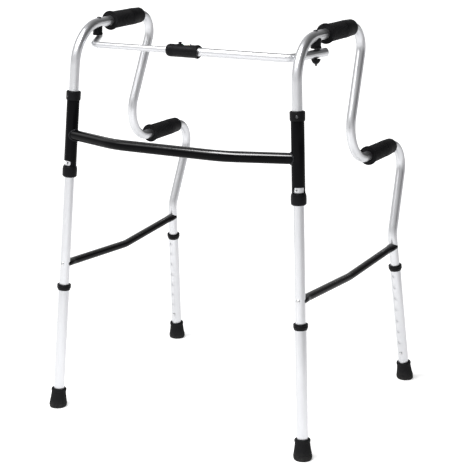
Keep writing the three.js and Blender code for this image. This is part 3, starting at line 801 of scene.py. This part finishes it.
# ---------------------------------------- adjustable legs


def button_facing(end):
    return Vector((0, 1 if end == "front" else -1, 0))


def leg_extension(name, side, end):
    top = COLLAR_TOP[end] - COLLAR_LIP - GAP
    outer, inner = EXTENSION_RADIUS, EXTENSION_RADIUS - EXTENSION_WALL
    bottom = EXTENSION_BOTTOM
    tube = turned(f"{end}_{name}_leg_extension", [
        (inner, bottom, 0.2), (outer, bottom, 0.2), (outer, top, 0.2), (inner, top, 0.2)], ALUMINIUM, 56)
    cutters = [aim(cylinder_cutter(HOLE_RADIUS, 5.0, 16.0), UP * (FIRST_HOLE + k * HOLE_PITCH),
                   button_facing(end)) for k in range(HOLE_COUNT)]
    carve(tube, cutters, 0.2)
    on_leg(tube, side, end)
    keep(tube, f"{end}_{name}_leg", "aluminium_tube", f"leg_extension_{end}_{name}")


def leg_collar(name, side, end):
    bore = EXTENSION_RADIUS + 0.1
    neck = SIDE_TUBE_RADIUS + 0.2
    top = COLLAR_TOP[end]
    bottom = top - COLLAR_HEIGHT
    collar = turned(f"{end}_{name}_leg_collar", [
        (bore, bottom, 0.2),
        (bore + 1.3, bottom, 0.4),
        (bore + 2.6, bottom + 4.2, 1.0),
        (bore + 3.1, bottom + 5.0, 0.5),
        (bore + 3.1, bottom + 7.0, 0.3),
        (bore + 2.7, bottom + 7.4, 0.2),
        (bore + 2.7, bottom + 7.9, 0.2),
        (bore + 3.1, bottom + 8.3, 0.3),
        (bore + 3.1, top - 0.2, 1.0),
        (neck + 0.6, top, 0.4),
        (neck, top - 0.4, 0.2),
        (neck, top - COLLAR_LIP, 0.2),
        (bore, top - COLLAR_LIP, 0.2),
    ], PLASTIC, 64)
    on_leg(collar, side, end)
    keep(collar, f"{end}_{name}_leg", "black_plastic", f"leg_collar_{end}_{name}")


def rubber_foot(name, side, end):
    """A bell with a rolled top, two rings and a grooved sole that lies level on the floor."""
    direction = leg_direction(side, end)
    base = leg_foot(side, end)
    tilt_height = 12.0

    def place(radius, angle, height):
        amount = smooth(height / tilt_height)
        tilt = UP.slerp(direction, amount) if amount > 0 else UP
        flat = Vector((radius * math.cos(angle), radius * math.sin(angle), 0))
        arm = UP.rotation_difference(tilt) @ flat
        return base + direction * (height / direction.z) + arm

    bore = EXTENSION_RADIUS + 0.1
    outline = [(0.0, 0.6)]
    for radius in (3.0, 6.0, 9.0, 12.0):
        outline += [
            (radius, 0.6, 0.2),
            (radius + 0.3, 0.0, 0.2),
            (radius + 1.9, 0.0, 0.2),
            (radius + 2.2, 0.6, 0.2),
        ]
    outline += [
        (14.9, 0.6, 0.2),
        (15.2, 0.0, 0.2),
        (16.3, 0.0, 0.8),
        (17.6, 1.8, 1.2),
        (18.2, 5.0, 1.2),
        (18.1, 9.4, 0.6),
        (17.3, 10.2, 0.4),
        (17.3, 11.0, 0.4),
        (17.6, 11.8, 0.6),
        (16.4, 18.5, 6.0),
        (15.3, 27.0, 6.0),
        (14.8, 34.0, 1.0),
        (15.5, 35.0, 0.6),
        (15.5, 38.2, 0.8),
        (14.6, FOOT_HEIGHT, 1.0),
        (bore + 0.7, FOOT_HEIGHT, 0.4),
        (bore, FOOT_HEIGHT - 0.8, 0.2),
        (bore, EXTENSION_BOTTOM - 0.3, 0.2),
        (0.0, EXTENSION_BOTTOM - 0.3),
    ]
    foot = turned(f"{end}_{name}_rubber_foot", outline, FOOT, 64, place, 3)
    keep(foot, f"{end}_{name}_leg", "foot_rubber", f"rubber_foot_{end}_{name}")


def snap_button(name, side, end):
    button = turned(f"{end}_{name}_snap_button", [
        (0.0, 5.5),
        (4.0, 5.5, 0.3),
        (4.0, 6.8, 0.3),
        (BUTTON_RADIUS, 6.8, 0.2),
        (BUTTON_RADIUS, BUTTON_TIP - 1.0, 1.4),
        (BUTTON_RADIUS - 1.6, BUTTON_TIP, 1.4),
        (0.0, BUTTON_TIP),
    ], STEEL, 40)
    aim(button, UP * FIRST_HOLE, button_facing(end))
    on_leg(button, side, end)
    keep(button, f"{end}_{name}_snap", "steel", f"snap_button_{end}_{name}")


# ---------------------------------------- front frame


def slot_cutters(side):
    """The slot round the sleeve: a band with a round end at each limit."""
    steps = 30

    def facing(turn):
        angle = math.radians(turn)
        return Vector((side * math.cos(angle), math.sin(angle), 0))

    verts = []
    for k in range(steps + 1):
        spread = facing(SLOT_START + SLOT_SWEEP * k / steps)
        for radius, height in ((6, SLOT_BOTTOM), (20, SLOT_BOTTOM), (20, SLOT_TOP), (6, SLOT_TOP)):
            verts.append(spread * radius + UP * height)
    faces = [(0, 1, 2, 3), tuple(steps * 4 + c for c in (3, 2, 1, 0))]
    for k in range(steps):
        for c in range(4):
            beside = (c + 1) % 4
            faces.append((k * 4 + c, k * 4 + 4 + c, k * 4 + 4 + beside, k * 4 + beside))
    cutters = [make_object("cutter", verts, faces, None, STEEL)]
    middle = (SLOT_BOTTOM + SLOT_TOP) / 2
    for turn in (SLOT_START, SLOT_START + SLOT_SWEEP):
        end = cylinder_cutter((SLOT_TOP - SLOT_BOTTOM) / 2, 6.0, 20.0)
        cutters.append(aim(end, UP * middle, facing(turn)))
    return cutters


def hinge_sleeve(name, side):
    inner = SLEEVE_RADIUS - SLEEVE_WALL
    tube = turned(f"{name}_hinge_sleeve", [
        (inner, SLEEVE_BOTTOM, 0.3), (SLEEVE_RADIUS, SLEEVE_BOTTOM, 0.3),
        (SLEEVE_RADIUS, SLEEVE_TOP, 0.3), (inner, SLEEVE_TOP, 0.3)], PAINT, 72)
    carve(tube, slot_cutters(side), 0.25)
    on_leg(tube, side, "front")
    keep(tube, "front_frame", "black_paint", f"hinge_sleeve_{name}")


def sleeve_cap(name, side):
    neck = SIDE_TUBE_RADIUS + 0.15
    over = SLEEVE_RADIUS + 0.1
    cap = turned(f"{name}_sleeve_cap", [
        (over, SLEEVE_TOP - 15, 0.2),
        (over + 1.4, SLEEVE_TOP - 15, 0.5),
        (over + 1.7, SLEEVE_TOP - 12, 0.5),
        (over + 1.8, SLEEVE_TOP + 1.6, 1.3),
        (over - 0.2, SLEEVE_TOP + 3.0, 0.8),
        (neck + 0.5, SLEEVE_TOP + 3.0, 0.4),
        (neck, SLEEVE_TOP + 2.4, 0.2),
        (neck, SLEEVE_TOP + 0.2, 0.1),
        (over, SLEEVE_TOP + 0.2, 0.1),
    ], PLASTIC, 72)
    turn = side * math.radians(CAP_SCREW_TURN)
    facing = Vector((math.sin(turn), -math.cos(turn), 0))
    place = UP * (SLEEVE_TOP - 7)
    dimple = aim(cylinder_cutter(3.7, SLEEVE_RADIUS + 1.2, 20.0), place, facing)
    carve(cap, [dimple], 0.15)
    on_leg(cap, side, "front")
    keep(cap, "front_frame", "black_plastic", f"sleeve_cap_{name}")
    screw = pan_screw(f"{name}_sleeve_cap_screw", 2.8, 1.3, SLEEVE_RADIUS + 1.25, DARK_STEEL)
    aim(screw, place, facing)
    on_leg(screw, side, "front")
    keep(screw, "front_frame", "steel", f"sleeve_cap_screw_{name}")


def sleeve_bush(name, side):
    neck = SIDE_TUBE_RADIUS + 0.15
    over = SLEEVE_RADIUS + 0.1
    bush = turned(f"{name}_sleeve_bush", [
        (neck, SLEEVE_BOTTOM - 2.6, 0.2),
        (neck + 0.5, SLEEVE_BOTTOM - 3.0, 0.3),
        (over - 0.6, SLEEVE_BOTTOM - 3.0, 1.2),
        (over + 1.7, SLEEVE_BOTTOM - 0.5, 1.6),
        (over + 2.0, SLEEVE_BOTTOM + 6.0, 2.0),
        (over + 2.0, SLOT_BOTTOM - 7.0, 2.0),
        (over + 1.1, SLOT_BOTTOM - 2.0, 1.0),
        (over, SLOT_BOTTOM - 1.6, 0.2),
        (over, SLEEVE_BOTTOM - 0.2, 0.1),
        (neck, SLEEVE_BOTTOM - 0.2, 0.1),
    ], PLASTIC, 72)
    on_leg(bush, side, "front")
    keep(bush, "front_frame", "black_plastic", f"sleeve_bush_{name}")


def stop_pin(name, side):
    pin = turned(f"{name}_fold_stop_pin", [
        (0.0, SIDE_TUBE_RADIUS),
        (STOP_PIN_RADIUS, SIDE_TUBE_RADIUS, 0.2),
        (STOP_PIN_RADIUS, SLEEVE_RADIUS + 0.9, 1.0),
        (STOP_PIN_RADIUS - 1.4, SLEEVE_RADIUS + 1.5, 1.0),
        (0.0, SLEEVE_RADIUS + 1.5),
    ], STEEL, 36)
    aim(pin, UP * ((SLOT_BOTTOM + SLOT_TOP) / 2), Vector((0, -1, 0)))
    on_leg(pin, side, "front")
    keep(pin, f"{name}_side", "steel", f"fold_stop_pin_{name}")


def cross_bar():
    left = leg_point(-1, "front", CROSS_BAR_HEIGHT)
    right = leg_point(1, "front", CROSS_BAR_HEIGHT)
    bow = FRONT_FOOT_Y - CROSS_BAR_BOW
    corners = [
        left,
        Vector((-CROSS_BAR_BEND_X, bow, CROSS_BAR_HEIGHT)),
        Vector((CROSS_BAR_BEND_X, bow, CROSS_BAR_HEIGHT)),
        right,
    ]
    stations = bent_path(corners, [CROSS_BAR_BEND_RADIUS] * 2, 1.5)
    posts = [(place, leg_direction(side, "front"), SLEEVE_RADIUS)
             for place, side in ((left, -1), (right, 1))]
    bar = sweep("cross_bar_tube", stations, CROSS_BAR_RADIUS, CROSS_BAR_WALL, PAINT, 64, 0.02, cope=posts)
    keep(bar, "front_frame", "black_paint", "cross_bar")
    for name, post, run in (("left", posts[0], corners[1] - left), ("right", posts[1], corners[2] - right)):
        weld_bead(name, post, run.normalized())


def weld_bead(name, post, run):
    """A rippled bead of weld, painted over, round the joint of the bar and a sleeve."""
    across = UP.cross(run).normalized()
    upright = run.cross(across)
    count, ring = 120, 10
    thickness, ripple, ripples = 1.7, 0.22, 22
    path = []
    for k in range(count):
        angle = math.tau * k / count
        arm = (across * math.cos(angle) + upright * math.sin(angle)) * (CROSS_BAR_RADIUS + 0.2)
        path.append(fit_to_post(post[0] + arm, run, (post[0], post[1], SLEEVE_RADIUS + 0.2)))
    verts = []
    for k, point in enumerate(path):
        along = (path[(k + 1) % count] - path[k - 1]).normalized()
        side_on = along.cross(run).normalized()
        over = side_on.cross(along)
        size = thickness + ripple * math.sin(k * math.tau * ripples / count)
        for j in range(ring):
            angle = math.tau * j / ring
            verts.append(point + (side_on * math.cos(angle) + over * math.sin(angle)) * size)
    faces, _ = grid_faces(count, ring)
    bead = make_object(f"{name}_weld_bead", verts, faces, None, WELD, 80)
    keep(bead, "front_frame", "black_paint")


# ---------------------------------------- telescopic top brace


def brace_path(side, inner_end):
    pivot = pivot_point(side)
    corner = Vector((side * BRACE_CORNER_X, FRONT_FOOT_Y + BRACE_LINE, BRACE_HEIGHT))
    start = Vector((inner_end, corner.y, BRACE_HEIGHT))
    end = pivot + (pivot - corner).normalized() * BRACE_STUB
    return bent_path([start, corner, end], [BRACE_BEND_RADIUS], 4.0)


def brace_halves():
    tube = sweep("brace_outer_tube", brace_path(1, TUBE_INNER_END), BRACE_TUBE_RADIUS, BRACE_TUBE_WALL,
                 ALUMINIUM, flatten=0.05)
    keep(tube, "outer_brace", "aluminium_tube", "brace_tube")
    rod = sweep("brace_inner_rod", brace_path(-1, ROD_INNER_END), BRACE_ROD_RADIUS, BRACE_ROD_WALL,
                ALUMINIUM, 40, 0.05)
    keep(rod, "inner_brace", "aluminium_tube", "brace_rod")


def lock_sleeve():
    """Rounded at the thin rod; at the tube its mouth flares and is scooped front and back."""
    bore = BRACE_ROD_RADIUS + 0.4
    tube_bore = BRACE_TUBE_RADIUS + 0.2
    step = TUBE_INNER_END - GAP

    def scoop(radius, angle, along):
        reach = smooth((along - (LOCK_RIGHT - 16.0)) / 16.0)
        shorter = 4.0 * reach * math.cos(angle) ** 2
        wider = 1 + 0.07 * reach * math.sin(angle) ** 2
        return (
            radius * math.cos(angle),
            radius * math.sin(angle) * (wider if radius > tube_bore + 0.5 else 1.0),
            along - shorter,
        )

    outline = [
        (bore, LOCK_LEFT, 0.3),
        (LOCK_RADIUS - 1.5, LOCK_LEFT, 2.4),
        (LOCK_RADIUS, LOCK_LEFT + 4.5, 3.5),
    ]
    for k in range(3):
        groove = LOCK_LEFT + 9.0 + 3.0 * k
        outline += [
            (LOCK_RADIUS, groove, 0.25),
            (LOCK_RADIUS - 0.5, groove + 0.5, 0.25),
            (LOCK_RADIUS - 0.5, groove + 1.0, 0.25),
            (LOCK_RADIUS, groove + 1.5, 0.25),
        ]
    outline += [
        (LOCK_RADIUS, LOCK_RIGHT - 15.0, 6.0),
        (LOCK_RADIUS + 0.2, LOCK_RIGHT - 8.0, 4.0),
        (LOCK_RADIUS + 1.0, LOCK_RIGHT - 0.6, 0.6),
        (LOCK_RADIUS, LOCK_RIGHT, 0.5),
        (tube_bore, LOCK_RIGHT - 1.5, 0.4),
        (tube_bore, step, 0.2),
        (bore, step, 0.2),
    ]
    sleeve = turned("brace_lock_sleeve", outline, PLASTIC, 72, scoop)
    on_brace(sleeve, 0, Vector((1, 0, 0)))
    rim = LOCK_BUTTON_RADIUS + 0.4
    well = cylinder_cutter(rim, LOCK_WELL_BOTTOM, LOCK_RADIUS + 8.0)
    carve(sleeve, [on_brace(well, LOCK_BUTTON_X, UP)], 0.2)
    keep(sleeve, "outer_brace", "black_plastic", "lock_sleeve")
    bezel = turned("lock_button_bezel", [
        (rim, LOCK_RADIUS - 1.5, 0.1),
        (rim + 2.4, LOCK_RADIUS - 1.5, 0.1),
        (rim + 1.6, LOCK_RADIUS + 0.9, 0.6),
        (rim, LOCK_RADIUS + 1.0, 0.3),
    ], PLASTIC, 48)
    on_brace(bezel, LOCK_BUTTON_X, UP)
    keep(bezel, "outer_brace", "black_plastic")
    tab = box("brace_lock_tab", (LOCK_TAB_LENGTH, 7.0, 6.0), (LOCK_TAB_X, 0.0, LOCK_RADIUS - 0.6), NYLON)
    carve(tab, [], 1.2)
    move(tab, Matrix.Translation((0, FRONT_FOOT_Y + BRACE_LINE, BRACE_HEIGHT)))
    keep(tab, "outer_brace", "nylon")


def lock_button():
    bottom = BRACE_ROD_RADIUS + LOCK_BUTTON_STROKE + 0.6
    button = turned("brace_lock_button", [
        (0.0, bottom),
        (LOCK_BUTTON_RADIUS, bottom, 0.3),
        (LOCK_BUTTON_RADIUS, LOCK_RADIUS + 0.6, 0.5),
        (LOCK_BUTTON_RADIUS - 1.0, LOCK_RADIUS + 1.4, 0.4),
        (LOCK_BUTTON_RADIUS - 1.0, LOCK_RADIUS + 2.4, 0.4),
        (LOCK_BUTTON_RADIUS, LOCK_RADIUS + 3.0, 0.4),
        (LOCK_BUTTON_RADIUS, LOCK_RADIUS + 4.1, 0.6),
        (LOCK_BUTTON_RADIUS - 1.4, LOCK_RADIUS + 4.7, 0.8),
        (0.0, LOCK_RADIUS + 4.4),
    ], PLASTIC, 44)
    on_brace(button, LOCK_BUTTON_X, UP)
    keep(button, "brace_lock", "black_plastic", "lock_button")


def brace_saddle(name, side):
    """A moulded foot under the rail, scooped to the rail above, with a base ring over the brace."""
    radius = BRACE_ROD_RADIUS if side < 0 else BRACE_TUBE_RADIUS
    base = radius + BRACE_PLAY
    body = turned(f"{name}_brace_saddle", [
        (0.0, base),
        (SADDLE_RADIUS - 0.4, base, 0.6),
        (SADDLE_RADIUS + 0.5, base + 2.2, 1.0),
        (SADDLE_RADIUS - 0.6, base + 5.0, 2.0),
        (SADDLE_RADIUS - 0.2, PIVOT_TO_RAIL - 4.0, 0.5),
        (0.0, PIVOT_TO_RAIL - 4.0),
    ], PLASTIC, 56)
    move(body, Matrix.Translation(pivot_point(side)))
    rail = sweep("cutter", side_path(side), SIDE_TUBE_RADIUS + 0.12, SIDE_TUBE_RADIUS, STEEL)
    carve(body, [rail], 0.2)
    keep(body, f"{name}_side", "black_plastic", f"brace_saddle_{name}")


def domed_bolt(name, bottom_points, side):
    outline = bottom_points + [
        (BOLT_RADIUS, BOLT_HEAD - 1.4, 0.1),
        (4.4, BOLT_HEAD - 1.4, 0.2),
        (4.3, BOLT_HEAD + 0.3, 0.5),
        (3.2, BOLT_HEAD + 1.3, 1.5),
        (0.0, BOLT_HEAD + 1.8),
    ]
    return on_pivot(turned(name, outline, DARK_STEEL, 44), side)


def pivots():
    top = -BRACE_TUBE_RADIUS - 0.7
    shank = [
        (0.0, top - 14.0),
        (1.5, top - 13.6, 0.5),
        (BOLT_RADIUS, top - 9.4, 0.5),
        (BOLT_RADIUS, top - 7.0),
    ]
    keep(domed_bolt("right_pivot_bolt", shank, 1), "right_pivot", "steel", "pivot_bolt_right")
    nut = turned("right_pivot_nut", [
        (BOLT_RADIUS + 0.1, top - 9.0, 0.2),
        (4.4, top - 9.3, 0.5),
        (7.2, top - 6.2, 1.6),
        (8.7, top - 2.6, 1.2),
        (8.6, top - 0.4, 0.5),
        (BOLT_RADIUS + 0.1, top, 0.2),
    ], PLASTIC, 48)
    keep(on_pivot(nut, 1), "right_pivot", "black_plastic", "pivot_nut_right")
    shank = [(0.0, BRACE_ROD_RADIUS + 0.6), (BOLT_RADIUS, BRACE_ROD_RADIUS + 0.6, 0.3)]
    keep(domed_bolt("left_pivot_bolt", shank, -1), "left_side", "steel", "pivot_bolt_left")
    top = -BRACE_ROD_RADIUS - 0.7
    tail = turned("left_pivot_nut", [
        (0.0, top - 12.0),
        (1.3, top - 11.6, 0.5),
        (2.0, top - 5.0, 0.4),
        (4.1, top - 4.4, 0.5),
        (4.7, top - 0.6, 0.4),
        (4.5, top, 0.3),
        (0.0, top),
    ], STEEL, 44)
    keep(on_pivot(tail, -1), "inner_brace", "steel", "pivot_nut_left")


# ---------------------------------------- assembly

for name, side in SIDES.items():
    side_tube(name, side)
    grips(name, side)
    side_bar(name, side)
    side_bar_screws(name, side)
    hinge_sleeve(name, side)
    sleeve_cap(name, side)
    sleeve_bush(name, side)
    stop_pin(name, side)
    brace_saddle(name, side)
    for end in ENDS:
        leg_extension(name, side, end)
        leg_collar(name, side, end)
        rubber_foot(name, side, end)
        snap_button(name, side, end)
cross_bar()
brace_halves()
lock_sleeve()
lock_button()
pivots()

# Inner pieces keep their CAD meshes and take a finish.
for node, finish in (("slide_liner", NYLON), ("snap_spring", STEEL)):
    for title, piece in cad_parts.items():
        if title.startswith(node):
            piece.data.materials.clear()
            piece.data.materials.append(finish)

# ---------------------------------------- floor, light, camera

FLOOR_HALF = 30.0
FLOOR_SHADE_TOWARD = (0.947, 0.32, 0.0)
WORLD_SHADE_TOWARD = (0.8, 0.6, 0.0)
CAMERA_PLACE = (1.3260, -2.4578, 1.0791)
CAMERA_ANGLES = (28.29, 14.70, 0.137)
CAMERA_LENS = 106.6
CAMERA_SENSOR = 36.0


def floor():
    mesh = bpy.data.meshes.new("floor")
    corners = [(x * FLOOR_HALF, y * FLOOR_HALF, 0) for x, y in ((-1, -1), (1, -1), (1, 1), (-1, 1))]
    mesh.from_pydata(corners, [], [(0, 1, 2, 3)])
    made = bpy.data.objects.new("floor", mesh)
    bpy.context.scene.collection.objects.link(made)
    shader = Shader("pale_floor", (0.93, 0.93, 0.93), 0.0, 0.6)
    shader.set("Specular IOR Level", 0.1)
    shader.set("Emission Color", (1.0, 1.0, 1.0, 1.0))
    here = shader.place("Object", (1, 1, 1))
    away = shader.tree.nodes.new("ShaderNodeVectorMath")
    away.operation = "LENGTH"
    shader.link(here, away.inputs[0])
    # Painted light: the floor glows, brighter far off and toward the horizon, and a painted shade dims its
    # glow on one side so the metal tubes reflect darker edges.
    far_glow = shader.remap(away.outputs["Value"], 0.8, 3.0, 0.4, 0.95)
    shaded_side = shader.remap(shader.along(here, FLOOR_SHADE_TOWARD), 0.75, 2.6, 1.0, 0.05)
    horizon_glow = shader.remap(away.outputs["Value"], 4.5, 10.0, 0.0, 0.9)
    glow = shader.math("MAXIMUM", shader.math("MULTIPLY", far_glow, shaded_side), horizon_glow)
    shader.link(glow, shader.principled.inputs["Emission Strength"])
    mesh.materials.append(shader.material)


def area_light(name, place, target, size, power):
    light = bpy.data.lights.new(name, "AREA")
    light.shape = "RECTANGLE"
    light.size, light.size_y = size
    light.energy = power
    made = bpy.data.objects.new(name, light)
    made.location = place
    made.rotation_euler = (Vector(place) - Vector(target)).to_track_quat("Z", "Y").to_euler()
    bpy.context.scene.collection.objects.link(made)


def studio():
    """A soft box, a fill, and a world that darkens overhead and to the right above a white horizon."""
    world = bpy.data.worlds.new("studio")
    world.use_nodes = True
    tree = world.node_tree
    background = next(n for n in tree.nodes if n.type == "BACKGROUND")
    coordinates = tree.nodes.new("ShaderNodeTexCoord")
    shaded = tree.nodes.new("ShaderNodeMath")
    shaded.operation = "MULTIPLY"
    brightest = tree.nodes.new("ShaderNodeMath")
    brightest.operation = "MAXIMUM"
    ramps = (
        (shaded.inputs[0], WORLD_SHADE_TOWARD, 0.0, 0.9, 0.75, 0.06),
        (shaded.inputs[1], UP, 0.45, 0.85, 1.0, 0.4),
        (brightest.inputs[1], UP, 0.02, 0.1, 1.0, 0.0),
    )
    for socket, direction, *steps in ramps:
        facing = tree.nodes.new("ShaderNodeVectorMath")
        facing.operation = "DOT_PRODUCT"
        facing.inputs[1].default_value = direction
        ramp = tree.nodes.new("ShaderNodeMapRange")
        for index, number in zip((1, 2, 3, 4), steps):
            ramp.inputs[index].default_value = number
        tree.links.new(coordinates.outputs["Generated"], facing.inputs[0])
        tree.links.new(facing.outputs["Value"], ramp.inputs["Value"])
        tree.links.new(ramp.outputs["Result"], socket)
    tree.links.new(shaded.outputs["Value"], brightest.inputs[0])
    tree.links.new(brightest.outputs["Value"], background.inputs["Color"])
    bpy.context.scene.world = world
    area_light("fill", (-1.6, -2.2, 2.6), (0, 0, 0.4), (1.6, 1.6), 10)
    area_light("soft_box", (-0.22, -1.04, 2.38), (0.12, -0.24, 0.57), (1.45, 0.85), 60)


def camera():
    azimuth, elevation, roll = (math.radians(angle) for angle in CAMERA_ANGLES)
    back = Vector((
        math.sin(azimuth) * math.cos(elevation),
        -math.cos(azimuth) * math.cos(elevation),
        math.sin(elevation),
    ))
    data = bpy.data.cameras.new("camera")
    data.lens = CAMERA_LENS
    data.sensor_width = CAMERA_SENSOR
    made = bpy.data.objects.new("camera", data)
    made.location = CAMERA_PLACE
    level = back.to_track_quat("Z", "Y").to_matrix()
    made.rotation_euler = (Matrix.Rotation(roll, 3, back) @ level).to_euler()
    bpy.context.scene.collection.objects.link(made)
    bpy.context.scene.camera = made


floor()
studio()
camera()
bpy.context.scene.view_settings.view_transform = "Standard"
